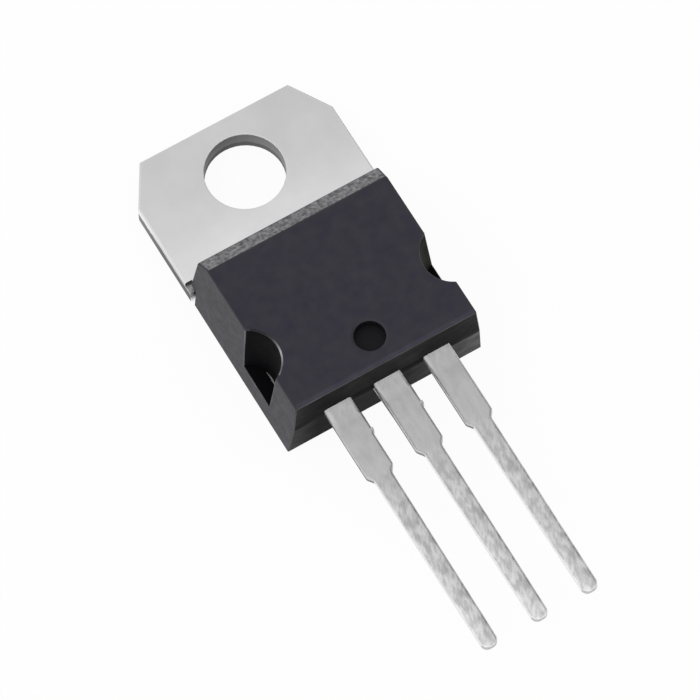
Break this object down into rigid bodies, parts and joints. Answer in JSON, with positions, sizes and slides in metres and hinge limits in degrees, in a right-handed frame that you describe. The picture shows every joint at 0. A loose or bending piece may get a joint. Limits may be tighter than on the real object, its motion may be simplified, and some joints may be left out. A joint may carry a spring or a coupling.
{
  "type": "power mosfet",
  "caption": "Power transistor package: a moulded black body on a metal tab with a screw hole, and flat leads in a row for switching high currents.",
  "frame": {"origin": "axis of the mounting hole where it meets the flat mounting face", "axes": "+Z out of the mounting face towards the front of the body, +Y towards the top edge of the tab, so the leads point along -Y; +X to the right seen from the front"},
  "size_m": [0.0102, 0.0286, 0.0045],
  "materials": {
    "epoxy": "moulded black epoxy with a fine matt grain",
    "tinned_copper": "matt tin plating on copper",
    "silicon": "polished silicon with aluminium pads",
    "solder": "dull solder",
    "bond_wire": "bright drawn wire"
  },
  "bodies": {
    "root": {"mould_body": "epoxy", "drain_tab": "tinned_copper", "gate_lead": "tinned_copper", "source_lead": "tinned_copper", "mosfet_die": "silicon", "die_solder": "solder", "gate_wire": "bond_wire", "source_wire_1": "bond_wire", "source_wire_2": "bond_wire"}
  },
  "joints": []
}
